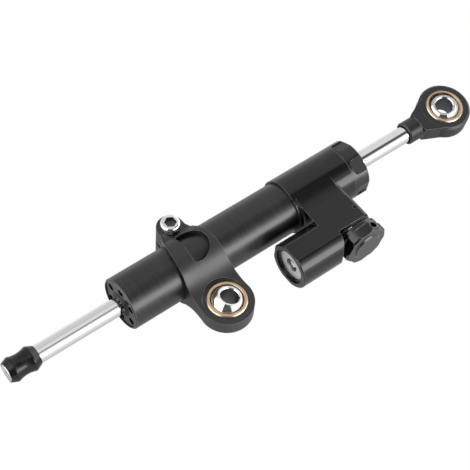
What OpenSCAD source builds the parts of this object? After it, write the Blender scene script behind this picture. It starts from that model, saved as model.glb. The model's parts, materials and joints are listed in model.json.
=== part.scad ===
// Motorcycle steering damper: a through-rod hydraulic cylinder with an adjustable
// valve block, a side reservoir, a split clamp and two spherical bearings.
// X runs along the rod towards its eye, Z along the mounting bolts.
// The origin is the centre of the clamp's bearing ball. Millimetres.

/* [Cylinder tube] */
// Outside diameter of the tube
tube_d = 24; // [23:0.5:27]
// Length of tube that shows, open end to valve block
tube_len = 86.8; // [80:1:110]
// Bore that the piston runs in
bore_d = 19; // [17:0.5:19.5]
// Diameter of the tube's spigot inside the valve block
spigot_d = 22; // [21.5:0.1:22.5]
// Bevel round the tube's open end
tube_bevel = 0.6; // [0.2:0.1:0.9]
// Diameter of the mouth that takes the front gland
mouth_d = 22; // [20.5:0.1:22.4]
// Depth of that mouth
mouth_depth = 5; // [4:0.5:7]

/* [Rod and piston] */
// Diameter of the piston rod
rod_d = 8; // [7:0.5:9]
// Rod from the tube's open end to the rod's plain end
rod_front = 55.5; // [52:0.5:60]
// Bare rod between the end cap and the eye
rod_rear = 31.8; // [28:0.2:40]
// Depth of the stud inside the eye
rod_socket = 10; // [7:0.5:11]
// Diameter of the stud that holds the eye
stud_d = 6; // [5:0.5:6]
// Piston's middle from the tube's open end
piston_pos = 59.5; // [54:0.5:62]
// Width of the piston
piston_w = 12; // [8:0.5:13]
// Width of the piston's slide ring
piston_ring_w = 3.4; // [2:0.2:4]
// Depth of the groove for the slide ring
piston_ring_t = 1.6; // [1:0.1:2.4]
// Outside diameter of the clips beside the piston
piston_clip_d = 12; // [10.5:0.5:15]
// Thickness of those clips
piston_clip_t = 1; // [0.8:0.1:1.4]
// Centre drilling in the rod's plain end
centre_hole_d = 1.4; // [0.8:0.1:2]

/* [Glands and seals] */
// Length of the front gland
gland_len = 20; // [19:0.5:22]
// Depth of the gland's face inside the tube's mouth
gland_recess = 0.5; // [0.3:0.1:1]
// Outside diameter of the guide bushes
bush_d = 11; // [10.6:0.1:11.6]
// Length of the guide bushes
bush_len = 8; // [6:0.5:9]
// Outside diameter of the rod seals
seal_d = 14; // [13:0.2:15]
// Length of the rod seals
seal_len = 3.8; // [3:0.1:4]
// Thickness of the washer behind the front seal
washer_t = 1.4; // [1:0.1:1.8]
// Outside diameter of the wipers
wiper_d = 12; // [11:0.2:12.4]
// Length of the wipers inside their pockets
wiper_len = 4; // [3:0.2:4.4]
// How far the wiper's lip stands out of the face
wiper_lip = 0.7; // [0.3:0.1:1]
// Section of the round sealing rings
ring_t = 1.6; // [1.2:0.1:1.8]
// Number of tool pockets in the front gland
pocket_n = 6; // [4:1:6]
// Circle that the tool pockets lie on
pocket_pcd = 16.6; // [16.2:0.1:17]
// Diameter of one tool pocket
pocket_d = 3.6; // [2.8:0.1:4]
// Depth of the tool pockets
pocket_depth = 2.4; // [1.4:0.1:3]

/* [Valve block] */
// Diameter of the block round the cylinder
block_d = 26; // [25.5:0.5:30]
// Length of the block along the rod
block_len = 31.9; // [31:0.5:36]
// Length of tube spigot and piston room inside the block
spigot_len = 21.7; // [21:0.1:22.4]
// Start of the side arm from the block's front face
arm_start = 1.7; // [1:0.1:2.4]
// Width of the side arm along the rod
arm_w = 22.3; // [21:0.1:23]
// Thickness of the side arm
arm_t = 19.8; // [19:0.2:21]
// Front face of the arm's boss from the rod's axis
arm_reach = 29.6; // [28.4:0.1:31]
// Rounding of the arm's rear edges
arm_round = 2.4; // [1:0.1:3]
// Radius of the hollow where the arm's flat sides run into the round block
arm_blend = 8; // [3:0.5:12]
// Diameter of the round boss under the knob
boss_d = 19.6; // [18:0.2:20.4]
// Height of that boss
boss_t = 0.8; // [0.4:0.1:1.2]
// Closed drilling in the arm's top, from the knob's axis
plug_off = 3.6; // [3:0.1:4]
// Diameter of the plug in that drilling
plug_d = 1.7; // [1.4:0.1:2.4]

/* [End cap] */
// Length of the end cap
cap_len = 8.4; // [8:0.2:11]
// Length of the cap's spigot inside the block
cap_spigot = 4; // [3:0.2:5]
// Chamfer on the cap's rim
cap_chamfer = 0.7; // [0.3:0.1:1.2]
// Number of spanner notches round the cap
notch_n = 6; // [4:1:6]
// Width of one notch
notch_w = 7; // [5:0.2:7.4]
// Length of one notch from the cap's face
notch_len = 7; // [5:0.2:7.4]
// Depth of one notch
notch_depth = 1; // [0.8:0.1:1.6]
// Radius of the notch's inner corners
notch_corner = 1.6; // [0.8:0.1:2]

/* [Reservoir] */
// Outside diameter of the reservoir barrel
barrel_d = 21.5; // [21:0.1:22.5]
// Barrel's axis from the rod's axis
barrel_off = 26.1; // [25.4:0.1:27]
// Barrel's open end from the block's front face
barrel_front = 17.2; // [16:0.2:24]
// Barrel's closed end from the block's front face
barrel_rear = 7.2; // [5.6:0.2:7.4]
// Flats on the barrel, across
barrel_flats = 19.8; // [18.6:0.2:20.6]
// Radius of the hollow that lets the clamp pass
relief_r = 16.4; // [15.4:0.1:17]
// Radius of the hollow that clears the knob
knob_clear_r = 13.4; // [12:0.1:13.6]
// Bore of the reservoir
res_bore = 17; // [16:0.2:17.6]
// Thickness of the barrel's closed end
res_end = 4.6; // [4.4:0.1:5.4]
// Depth of the snap ring's face in the mouth
snap_depth = 0.8; // [0.5:0.1:1.4]
// Thickness of the snap ring
snap_t = 0.8; // [0.6:0.1:1.2]
// Inside diameter of the snap ring
snap_id = 14.6; // [13.6:0.2:15]
// Thickness of the reservoir's cover
cover_t = 2; // [1.4:0.1:2.6]
// Hole in the cover that shows the level pin
cover_hole = 6.4; // [5.4:0.1:7.4]
// Diameter of the level pin
level_pin_d = 4.4; // [3:0.1:4.8]
// Length of the floating piston
float_len = 5; // [4:0.5:5.5]
// Room between the floating piston and the closed end
float_room = 3; // [2:0.2:4]
// Wire of the compensator spring
spring_wire = 1.2; // [0.9:0.1:1.3]
// Middle diameter of the compensator spring
spring_d = 10.6; // [9:0.2:13]
// Turns of the compensator spring
spring_turns = 3.25; // [2:0.25:3.5]

/* [Adjuster] */
// Knob's axis from the block's front face
knob_pos = 17.5; // [16.6:0.1:18.4]
// Diameter over the knob's lobes
knob_d = 21.8; // [20:0.2:22.4]
// Diameter of the knob's round base
knob_base_d = 20.4; // [19:0.2:21.4]
// Thickness of the knob's round base
knob_base_t = 1.9; // [1:0.1:2.4]
// Height of the knob with its base
knob_h = 6.9; // [6:0.1:8]
// Number of finger scallops round the knob
scallop_n = 6; // [4:1:7]
// Radius of one finger scallop
scallop_r = 12; // [8:0.5:16]
// Depth of one finger scallop
scallop_depth = 1.4; // [0.8:0.1:1.6]
// Chamfer round the knob's face
knob_chamfer = 0.9; // [0.4:0.1:1.4]
// Diameter of the knob's raised cap
knob_cap_d = 12.4; // [9:0.2:14]
// Height of the knob's raised cap
knob_cap_h = 0.7; // [0.4:0.1:1.2]
// Space between knob and arm
knob_gap = 0.9; // [0.7:0.1:1.3]
// Diameter of the stem
stem_d = 5; // [4.4:0.2:5.4]
// Diameter of the valve bore
valve_bore = 9; // [8.4:0.2:9.6]
// Diameter of the stem gland
stem_gland_d = 11.4; // [10.8:0.1:11.8]
// Thickness of the stem gland
stem_gland_t = 2.6; // [2.2:0.1:3]
// Depth of the valve seat from the arm's face
seat_depth = 11.2; // [10.8:0.1:12]
// Bore of the valve seat
seat_bore = 3; // [2.4:0.1:3.6]
// Diameter of the detent ball
detent_d = 2.4; // [2:0.1:2.8]
// Circle of the detent notches
detent_pcd = 16.6; // [16:0.1:17.4]
// Number of detent notches
detent_n = 12; // [6:3:18]

/* [Clamp] */
// Clamp ball's centre from the rod's axis
lug_reach = 25.7; // [25:0.1:28]
// Clamp's middle from the tube's open end
clamp_pos = 36.4; // [30:0.5:48]
// Wall of the band round the tube
band_wall = 2; // [1.6:0.1:2.4]
// Width of the clamp across the tube's near side
band_near_w = 22.6; // [20:0.2:23.4]
// Width of the clamp across the tube's far side
band_far_w = 16.6; // [14:0.2:18]
// Radius of the bearing lug's outline
lug_r = 11.8; // [11.2:0.1:13]
// Thickness of the bearing lug
lug_t = 7; // [6:0.2:8]
// Radius of the hollow between band and lug
lug_blend_r = 16; // [10:0.5:20]
// Radius of the facing round the bearing
facing_r = 10.4; // [9.6:0.1:11]
// Radius of the screw lug's outline
ear_r = 6.1; // [5.6:0.1:7]
// Thickness of the screw lug
ear_t = 18.2; // [17:0.2:21]
// Screw's axis from the rod's axis
ear_reach = 15; // [14.9:0.1:17]
// Width of the split
split_w = 1.5; // [0.8:0.1:2]
// Length of the window across the tube
window_len = 15.8; // [10:0.2:16]
// Width of the window along the tube
window_w = 11.2; // [8:0.2:12]
// Window's middle along the tube, from the screw's axis
window_off = 2.4; // [1.4:0.1:2.6]

/* [Clamp screw] */
// Diameter of the screw
screw_d = 5; // [4:0.5:5]
// Diameter of the screw's head
screw_head_d = 8.7; // [7.6:0.1:9]
// Height of the screw's head
screw_head_h = 5; // [4:0.2:6]
// Hexagon socket, across flats
screw_hex = 4; // [3:0.5:4.5]
// Depth of the seat for the head
screw_seat = 1.2; // [0.8:0.1:3]

/* [Spherical bearings] */
// Bore of the balls, for the mounting bolts
ball_bore = 8; // [6:0.5:8.4]
// Diameter of the balls
ball_d = 15.88; // [15.2:0.1:16]
// Width of the balls
ball_w = 12; // [10.4:0.2:12.6]
// Outside diameter of the bronze races
race_d = 17.6; // [17.4:0.1:18.6]
// Width of the bronze races
race_w = 9; // [8.2:0.1:9.4]
// Wall of the race's rim, outside the recess round the ball
race_rim = 1.5; // [1.2:0.1:1.6]
// Depth of that recess
race_recess = 0.8; // [0.6:0.1:1]
// Tilt of the clamp's ball as it stands
clamp_ball_tilt = 13; // [0:1:13]
// Tilt of the eye's ball as it stands
eye_ball_tilt = -8; // [-13:1:0]

/* [Rod eye] */
// Roll of the eye about the rod, as it stands
eye_roll = 7; // [0:1:15]
// Eye's centre from the collar's face
eye_pos = 24.2; // [23.6:0.2:28]
// Outside radius of the eye
eye_r = 12.4; // [11.6:0.1:13.4]
// Thickness of the eye
eye_t = 8.4; // [7.6:0.1:9]
// Chamfer round the eye
eye_chamfer = 0.9; // [0.4:0.1:1.4]
// Diameter of the collar
collar_d = 10.8; // [10.4:0.1:13.4]
// Length of the collar
collar_len = 8.2; // [7:0.2:8.6]
// Diameter of the hollow in the collar's mouth
collar_mouth = 9.4; // [9:0.1:9.8]

/* [End bumper] */
// Length of the bumper
bumper_len = 14.5; // [12:0.5:14.5]
// Diameter of the bumper's two rims
bumper_d = 11.2; // [10.8:0.2:13]
// Diameter of the bumper's waist
bumper_waist = 9.8; // [9.4:0.1:10.2]

/* [Clearances] */
// Running clearance on a radius, for pieces that slide or turn
run = 0.05; // [0.03:0.01:0.08]
// Seating clearance on a radius, for pieces that stay put
seat = 0.04; // [0.02:0.01:0.06]

/* [Hidden] */
$fn = 72;

// Stations along the rod, from the tube's open end to the eye
tube_x = -clamp_pos;
block_x = tube_x + tube_len;
cap_x = block_x + block_len;
cap_end_x = cap_x + cap_len;
collar_x = cap_end_x + rod_rear;
eye_x = collar_x + eye_pos;
rod_end_x = tube_x - rod_front;
piston_x = tube_x + piston_pos;
chamber_end_x = block_x + spigot_len;
arm_x = block_x + arm_start;
knob_x = block_x + knob_pos;
barrel_x = block_x - barrel_front;
barrel_end_x = block_x + barrel_rear;

// Places across the rod
rod_y = lug_reach;
barrel_y = rod_y - barrel_off;
arm_face_y = rod_y - arm_reach;

// Depths along the front gland, from the tube's open end
wiper_end = gland_recess + wiper_len;
front_bush_end = wiper_end + bush_len;
front_washer_start = gland_recess + gland_len - washer_t;
front_seal_start = front_washer_start - seal_len;

// Depths in the reservoir, from its mouth
snap_end = snap_depth + snap_t;
snap_od = snap_id + 3.5;
snap_gap = 3.2;
snap_gap_at = 20;
cover_end = snap_end + cover_t;
res_depth = barrel_end_x - barrel_x - res_end;
float_end = res_depth - float_room;
float_start = float_end - float_len;
float_middle = float_end - float_len / 2;
level_pin_start = snap_end + 0.4;
pin_dome = 1.1;
pin_stem_d = level_pin_d / 2;
pin_stem_len = 2.6;
passage_d = 2.5;

// Heights on the adjuster, outwards from the arm's face
knob_top = knob_gap + knob_h;
lobe_base = knob_gap + knob_base_t;
knob_web = 1.2;
knob_bore_end = knob_top - knob_web;
scallop_first = -22;
// Turn of the base's seam away from the scallops
knob_seam = 20;
// How far the blends sink into block and arm
blend_sink = 0.06;
grub_angle = 68;
grub_z = (lobe_base + knob_top) / 2;
grub_d = 3;
grub_len = 5;
grub_hex = 1.5;
stem_collar_t = 1.5;
stem_collar_d = stem_d + 2.8;
stem_thread_d = 4.2;
stem_ring_t = 1.4;
needle_room = 0.6;
needle_top = -stem_gland_t - run - stem_collar_t - needle_room;
needle_end = -seat_depth + needle_room;
needle_tip_len = 3.6;
needle_tip_r = 0.35;
stem_end = needle_end + 2.2;
detent_at = 120;
detent_depth = 5;
detent_mark_d = 0.7 * detent_d;
detent_mark_depth = 0.4;
key_d = 1.6;
key_play = 0.15;

// Closed drilling and plug in the arm's top
plug_in = 6.7;
plug_depth = 2.4;
plug_t = 1.8;
drilling_d = plug_d - 0.6;
drilling_wall = 1.5;

// Depth of the collar's mouth, and the collar's bevels
mouth_t = 1.1;
collar_bevel = 0.7;
collar_rear_bevel = 1;

// The rod's passages, ends and grooves
rod_hole_r = rod_d / 2 + run;
free_hole_r = rod_hole_r + 0.3;
rod_groove_d = rod_d - 1;
rod_bevel = 0.3;
stud_bevel = 0.5;
centre_hole_depth = 1.2;
clip_gap = 2;

// Grooves of the sealing rings, and first places of pockets and notches
groove_w = 1.3 * ring_t;
gland_groove = wiper_end + 2;
pocket_first = 57;
notch_first = 63;

// Bevels on barrel, races and screw
barrel_bevel = 0.5;
race_bevel = 0.4;
screw_bevel = 0.5;

// Room round the clamp screw above the split, and the window's place across the band
screw_play = 0.2;
window_shift = 0.3;

// Draws what follows with its Z along the rod, from the station x
module along_rod(x) {
  translate([x, rod_y, 0]) rotate([0, 90, 0]) children();
}

// Draws what follows with its Z into the reservoir, from its mouth
module in_reservoir() {
  translate([barrel_x, barrel_y, 0]) rotate([0, 90, 0]) children();
}

// Draws what follows with its Z out of the arm's face, on the knob's axis
module on_arm_face() {
  translate([knob_x, arm_face_y, 0]) rotate([90, 0, 0]) children();
}

// A turned tube from z0 to z1
module ring(outer, inner, z0, z1) {
  translate([0, 0, z0]) difference() {
    cylinder(d = outer, h = z1 - z0);
    translate([0, 0, -1]) cylinder(d = inner, h = z1 - z0 + 2);
  }
}

// A round sealing ring whose section is t across, in the gap up to the radius r
module round_ring(r, t, z) {
  translate([0, 0, z]) rotate_extrude() translate([r - t / 2, 0]) circle(d = t, $fn = 32);
}

// Cylinder, glands and seals

module cylinder_tube() {
  color([0.10, 0.10, 0.11]) difference() {
    along_rod(tube_x) rotate_extrude() polygon([
      [mouth_d / 2, 0], [tube_d / 2 - tube_bevel, 0], [tube_d / 2, tube_bevel],
      [tube_d / 2, tube_len], [spigot_d / 2, tube_len],
      [spigot_d / 2, tube_len + spigot_len], [bore_d / 2, tube_len + spigot_len],
      [bore_d / 2, mouth_depth], [mouth_d / 2, mouth_depth]
    ]);
    on_arm_face() translate([0, 0, -arm_reach]) cylinder(d = seat_bore, h = arm_reach);
  }
}

module front_gland() {
  color([0.13, 0.13, 0.14]) along_rod(tube_x) difference() {
    rotate_extrude() polygon([
      [wiper_d / 2, gland_recess], [mouth_d / 2 - seat, gland_recess],
      [mouth_d / 2 - seat, mouth_depth], [bore_d / 2 - seat, mouth_depth],
      [bore_d / 2 - seat, gland_recess + gland_len], [seal_d / 2, gland_recess + gland_len],
      [seal_d / 2, front_seal_start], [free_hole_r, front_seal_start],
      [free_hole_r, front_bush_end], [bush_d / 2, front_bush_end],
      [bush_d / 2, wiper_end], [wiper_d / 2, wiper_end]
    ]);
    for (i = [0:pocket_n - 1]) rotate([0, 0, pocket_first + i * 360 / pocket_n])
      translate([pocket_pcd / 2, 0, gland_recess - 1]) cylinder(d = pocket_d, h = pocket_depth + 1, $fn = 32);
    ring(bore_d + 1, bore_d - 2 * ring_t, gland_groove, gland_groove + groove_w);
  }
}

module front_gland_ring() {
  color([0.05, 0.05, 0.05]) along_rod(tube_x)
    round_ring(bore_d / 2 - seat, ring_t - 2 * seat, gland_groove + groove_w / 2);
}

module guide_bush(x) {
  color([0.62, 0.45, 0.22]) along_rod(x) ring(bush_d - 2 * seat, 2 * rod_hole_r, 0, bush_len);
}

module front_guide_bush() {
  guide_bush(tube_x + wiper_end);
}

module rod_seal(x) {
  heel = 0.5;
  lip_root = rod_hole_r + 2 * heel;
  color([0.06, 0.06, 0.07]) along_rod(x) rotate_extrude() polygon([
    [rod_hole_r, heel], [rod_hole_r + heel, 0], [seal_d / 2 - seat, 0],
    [seal_d / 2 - seat, seal_len], [lip_root + 0.4, seal_len],
    [lip_root, seal_len * 0.45], [rod_hole_r + 0.1, seal_len * 0.8], [rod_hole_r, seal_len * 0.6]
  ]);
}

module front_rod_seal() {
  rod_seal(tube_x + front_seal_start);
}

module front_seal_washer() {
  color([0.72, 0.72, 0.74]) along_rod(tube_x)
    ring(seal_d - 2 * seat, 2 * free_hole_r, front_washer_start, front_washer_start + washer_t);
}

// A wiper whose lip points outwards; side is 1 or -1 along the rod
module wiper(x, side) {
  lip_t = 0.55;
  color([0.05, 0.05, 0.05]) along_rod(x) mirror([0, 0, side > 0 ? 0 : 1]) rotate_extrude() polygon([
    [free_hole_r, 0], [wiper_d / 2 - seat, 0], [wiper_d / 2 - seat, wiper_len],
    [rod_hole_r + 2 * lip_t, wiper_len], [rod_hole_r + lip_t, wiper_len + wiper_lip],
    [rod_hole_r, wiper_len + wiper_lip], [rod_hole_r, wiper_len * 0.5]
  ]);
}

module front_wiper() {
  wiper(tube_x + wiper_end, -1);
}

module rear_wiper() {
  wiper(cap_end_x - wiper_len, 1);
}

// Valve block and rear gland

module arm_profile() {
  flat_w = arm_w - arm_round;
  translate([arm_x, -arm_t / 2]) square([flat_w, arm_t]);
  translate([arm_x, -arm_t / 2 + arm_round]) square([arm_w, arm_t - 2 * arm_round]);
  for (side = [-1, 1]) translate([arm_x + flat_w, side * (arm_t / 2 - arm_round)])
    circle(r = arm_round);
}

// One hollow blend between the arm's side and the block, seen along the rod
module arm_hollow(side) {
  centre_z = arm_t / 2 + arm_blend - blend_sink;
  centre_r = block_d / 2 + arm_blend - blend_sink;
  out = sqrt(centre_r * centre_r - centre_z * centre_z);
  near = block_d / 2 / centre_r;
  difference() {
    polygon([
      [out, side * (arm_t / 2 - 1)], [out, side * (arm_t / 2 + blend_sink)],
      [out * near, side * (centre_z * near + blend_sink)],
      [out * near - 1, side * (centre_z * near - 1)], [out * near - 1, side * (arm_t / 2 - 1)]
    ]);
    translate([out, side * centre_z]) circle(r = arm_blend);
  }
}

module arm() {
  for (side = [-1, 1]) along_rod(arm_x) rotate([0, 0, -90])
    linear_extrude(arm_w - arm_round) arm_hollow(side);
  translate([0, rod_y, 0]) rotate([90, 0, 0]) {
    linear_extrude(arm_reach - boss_t) arm_profile();
    linear_extrude(arm_reach) intersection() {
      arm_profile();
      translate([knob_x, 0]) circle(d = boss_d);
    }
  }
}

module barrel() {
  length = barrel_end_x - barrel_x;
  difference() {
    intersection() {
      in_reservoir() rotate_extrude() polygon([
        [0, 0], [barrel_d / 2 - barrel_bevel, 0], [barrel_d / 2, barrel_bevel],
        [barrel_d / 2, length - barrel_bevel], [barrel_d / 2 - barrel_bevel, length], [0, length]
      ]);
      translate([barrel_x - 1, barrel_y - barrel_d, -barrel_flats / 2])
        cube([length + 2, 2 * barrel_d, barrel_flats]);
    }
    along_rod(barrel_x - 1) cylinder(r = relief_r, h = arm_x - barrel_x + 1);
    on_arm_face() translate([0, 0, -boss_t]) cylinder(r = knob_clear_r, h = barrel_d);
  }
}

// Draws what follows at the mouth of the closed drilling in the arm's top
module at_plug() {
  translate([knob_x + plug_off, arm_face_y + plug_in, arm_t / 2]) children();
}

module valve_block() {
  color([0.09, 0.09, 0.10]) difference() {
    union() {
      along_rod(block_x) cylinder(d = block_d, h = block_len);
      arm();
      barrel();
    }
    along_rod(block_x - 1) cylinder(r = spigot_d / 2 + seat, h = block_len + 2);
    in_reservoir() translate([0, 0, -1]) cylinder(d = res_bore, h = res_depth + 1);
    in_reservoir() ring(snap_od + 2 * seat, res_bore - 1, snap_depth, snap_end);
    in_reservoir() translate([0, 0, res_depth - 1]) cylinder(d = passage_d, h = knob_x - barrel_x - res_depth);
    on_arm_face() {
      translate([0, 0, -stem_gland_t]) cylinder(r = stem_gland_d / 2 + seat, h = stem_gland_t + 1);
      translate([0, 0, -seat_depth]) cylinder(d = valve_bore, h = seat_depth);
      translate([0, 0, -arm_reach]) cylinder(d = seat_bore, h = arm_reach - 1);
      rotate([0, 0, 90]) translate([valve_bore / 2, 0, needle_end])
        cylinder(d = key_d, h = needle_top - needle_end, $fn = 32);
      rotate([0, 0, detent_at]) translate([detent_pcd / 2, 0, -detent_depth])
        cylinder(r = detent_d / 2 + seat, h = 2 * detent_depth, $fn = 32);
    }
    at_plug() translate([0, 0, drilling_wall - arm_t / 2]) cylinder(d = drilling_d, h = arm_t, $fn = 32);
    at_plug() translate([0, 0, -plug_depth]) cylinder(r = plug_d / 2 + seat, h = 2 * plug_depth, $fn = 32);
  }
}

module passage_plug() {
  color([0.25, 0.25, 0.26]) at_plug() translate([0, 0, -plug_depth])
    cylinder(d = plug_d, h = plug_t, $fn = 32);
}

module seal_carrier() {
  carrier_len = cap_x - cap_spigot - chamber_end_x;
  pocket_start = carrier_len - seal_len;
  color([0.70, 0.70, 0.72]) along_rod(chamber_end_x) difference() {
    rotate_extrude() polygon([
      [free_hole_r, 0], [spigot_d / 2 - seat, 0], [spigot_d / 2 - seat, carrier_len],
      [seal_d / 2, carrier_len], [seal_d / 2, pocket_start], [free_hole_r, pocket_start]
    ]);
    ring(spigot_d + 1, spigot_d - 2 * ring_t, (carrier_len - groove_w) / 2, (carrier_len + groove_w) / 2);
  }
}

module seal_carrier_ring() {
  color([0.05, 0.05, 0.05]) along_rod((chamber_end_x + cap_x - cap_spigot) / 2)
    round_ring(spigot_d / 2 - seat, ring_t - 2 * seat, 0);
}

module rear_rod_seal() {
  rod_seal(cap_x - cap_spigot - seal_len);
}

module end_cap() {
  bush_end = bush_len - cap_spigot;
  floor_r = block_d / 2 - notch_depth;
  color([0.11, 0.11, 0.12]) along_rod(cap_x) difference() {
    rotate_extrude() polygon([
      [bush_d / 2, -cap_spigot], [spigot_d / 2 - seat, -cap_spigot], [spigot_d / 2 - seat, 0],
      [block_d / 2, 0], [block_d / 2, cap_len - cap_chamfer],
      [block_d / 2 - cap_chamfer, cap_len], [wiper_d / 2, cap_len],
      [wiper_d / 2, cap_len - wiper_len], [free_hole_r, cap_len - wiper_len],
      [free_hole_r, bush_end], [bush_d / 2, bush_end]
    ]);
    for (i = [0:notch_n - 1]) rotate([0, 0, notch_first + i * 360 / notch_n])
      translate([0, floor_r, cap_len]) rotate([-90, 0, 0]) linear_extrude(notch_depth + 2) notch();
  }
}

// One U-shaped notch, open towards negative Y of its plane
module notch() {
  translate([-notch_w / 2, -2]) square([notch_w, notch_len - notch_corner + 2]);
  translate([-notch_w / 2 + notch_corner, -2]) square([notch_w - 2 * notch_corner, notch_len + 2]);
  for (side = [-1, 1]) translate([side * (notch_w / 2 - notch_corner), notch_len - notch_corner])
    circle(r = notch_corner, $fn = 32);
}

module rear_guide_bush() {
  guide_bush(cap_x - cap_spigot);
}

// Reservoir

module reservoir_cover() {
  color([0.66, 0.66, 0.67]) in_reservoir() ring(res_bore - 2 * seat, cover_hole, snap_end, cover_end);
}

module reservoir_snap_ring() {
  color([0.08, 0.08, 0.08]) in_reservoir() difference() {
    ring(snap_od, snap_id, snap_depth, snap_end);
    rotate([0, 0, snap_gap_at]) translate([0, -snap_gap / 2, 0]) cube([snap_id, snap_gap, snap_end + 1]);
  }
}

module floating_piston() {
  color([0.60, 0.60, 0.62]) in_reservoir() difference() {
    translate([0, 0, float_start]) cylinder(d = res_bore - 2 * run, h = float_len);
    ring(res_bore + 1, res_bore - 2 * ring_t, float_middle - groove_w / 2, float_middle + groove_w / 2);
    translate([0, 0, float_start - 1]) cylinder(r = pin_stem_d / 2 + seat, h = pin_stem_len + 1 + seat);
  }
}

module floating_piston_ring() {
  color([0.05, 0.05, 0.05]) in_reservoir()
    round_ring(res_bore / 2 - run, ring_t - run - seat, float_middle);
}

module level_pin() {
  stem_z = float_start + pin_stem_len;
  color([0.85, 0.85, 0.86]) in_reservoir() rotate_extrude() polygon(concat(
    [for (a = [0:15:90]) [level_pin_d / 2 * sin(a), level_pin_start + pin_dome * (1 - cos(a))]],
    [[level_pin_d / 2, float_start], [pin_stem_d / 2, float_start], [pin_stem_d / 2, stem_z], [0, stem_z]]
  ));
}

// The spring is one unbroken tube of six sides, eight rings to the turn
spring_r = spring_d / 2;
spring_z0 = cover_end + spring_wire / 2 + 0.05;
spring_z1 = float_start - spring_wire / 2 - 0.05;
spring_rings = ceil(spring_turns * 8);
spring_sides = 6;

function coil(i) = let (a = i * 360 * spring_turns / spring_rings)
  [spring_r * cos(a), spring_r * sin(a), spring_z0 + (spring_z1 - spring_z0) * i / spring_rings];

function coil_point(i, k) = let (
    a = i * 360 * spring_turns / spring_rings,
    b = k * 360 / spring_sides,
    reach = spring_r + spring_wire / 2 * cos(b)
  ) [reach * cos(a), reach * sin(a), coil(i)[2] + spring_wire / 2 * sin(b)];

spring_gap = (spring_z1 - spring_z0) / spring_turns - spring_wire;
echo(spring_gap = spring_gap);

module compensator_spring() {
  n = spring_sides;
  points = [for (i = [0:spring_rings]) for (k = [0:n - 1]) coil_point(i, k)];
  sides = [for (i = [0:spring_rings - 1]) for (k = [0:n - 1]) let (
      p = i * n + k, q = i * n + (k + 1) % n
    ) each [[p, p + n, q], [q, p + n, q + n]]];
  first = [for (k = [1:n - 2]) [0, k, k + 1]];
  last = [for (k = [1:n - 2]) let (o = spring_rings * n) [o, o + k + 1, o + k]];
  color([0.55, 0.56, 0.58]) in_reservoir() polyhedron(points, concat(sides, first, last));
}

// Adjuster

// The round base with a plain core inside the lobes, so that base and lobes are one piece
module knob_base() {
  core_d = knob_d - 2 * scallop_depth - 2;
  translate([0, 0, knob_gap]) {
    rotate([0, 0, knob_seam]) cylinder(d = knob_base_d, h = knob_base_t);
    rotate([0, 0, knob_seam + 30]) cylinder(d = core_d, h = (knob_base_t + knob_h) / 2);
  }
}

module knob_lobes() {
  scallop_off = knob_d / 2 - scallop_depth + scallop_r;
  difference() {
    rotate([0, 0, scallop_first + 180 / scallop_n]) rotate_extrude() polygon([
      [0, lobe_base], [knob_d / 2, lobe_base],
      [knob_d / 2, knob_top - knob_chamfer], [knob_d / 2 - knob_chamfer, knob_top],
      [knob_cap_d / 2 + knob_cap_h, knob_top], [knob_cap_d / 2, knob_top + knob_cap_h],
      [0, knob_top + knob_cap_h]
    ]);
    for (i = [0:scallop_n - 1]) rotate([0, 0, scallop_first + i * 360 / scallop_n])
      translate([scallop_off, 0, knob_gap]) cylinder(r = scallop_r, h = 2 * knob_h);
  }
}

module adjuster_knob() {
  color([0.07, 0.07, 0.08]) on_arm_face() difference() {
    union() {
      knob_base();
      knob_lobes();
    }
    cylinder(d = stem_d + 2 * seat, h = knob_bore_end);
    for (i = [0:detent_n - 1]) rotate([0, 0, i * 360 / detent_n])
      translate([detent_pcd / 2, 0, 0]) cylinder(d = detent_mark_d, h = knob_gap + detent_mark_depth);
    rotate([0, 0, grub_angle]) translate([0, 0, grub_z])
      rotate([0, 90, 0]) cylinder(r = grub_d / 2 + seat, h = knob_d);
  }
}

module knob_grub_screw() {
  color([0.15, 0.15, 0.16]) on_arm_face() rotate([0, 0, grub_angle])
    translate([stem_d / 2 + run, 0, grub_z]) rotate([0, 90, 0]) difference() {
      cylinder(d = grub_d, h = grub_len, $fn = 32);
      translate([0, 0, grub_len * 0.6]) cylinder(d = grub_hex / cos(30), h = grub_len, $fn = 6);
    }
}

module adjuster_stem() {
  collar_top = -stem_gland_t - run;
  color([0.72, 0.72, 0.74]) on_arm_face() rotate_extrude() polygon([
    [0, stem_end], [stem_thread_d / 2, stem_end], [stem_thread_d / 2, collar_top - stem_collar_t],
    [stem_collar_d / 2, collar_top - stem_collar_t], [stem_collar_d / 2, collar_top],
    [stem_d / 2, collar_top], [stem_d / 2, knob_bore_end - run], [0, knob_bore_end - run]
  ]);
}

module stem_gland() {
  groove_t = stem_ring_t + 4 * seat;
  color([0.62, 0.45, 0.22]) on_arm_face() difference() {
    ring(stem_gland_d, stem_d + 2 * run, -stem_gland_t, 0);
    translate([0, 0, -stem_gland_t / 2]) ring(stem_d + 2 * groove_t, stem_d - 1, -groove_t / 2, groove_t / 2);
  }
}

module stem_gland_ring() {
  color([0.05, 0.05, 0.05]) on_arm_face() 
    round_ring(stem_d / 2 + run + stem_ring_t, stem_ring_t, -stem_gland_t / 2);
}

module valve_needle() {
  thread_end = stem_end - needle_room;
  color([0.72, 0.72, 0.74]) on_arm_face() difference() {
    rotate_extrude() polygon([
      [stem_thread_d / 2 + run, needle_top], [valve_bore / 2 - run, needle_top],
      [valve_bore / 2 - run, needle_end], [seat_bore / 2 - 0.3, needle_end],
      [needle_tip_r, needle_end - needle_tip_len], [0, needle_end - needle_tip_len],
      [0, thread_end], [stem_thread_d / 2 + run, thread_end]
    ]);
    rotate([0, 0, 90]) translate([valve_bore / 2, 0, needle_end - 1])
      cylinder(r = key_d / 2 + key_play, h = seat_depth, $fn = 32);
  }
}

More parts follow.
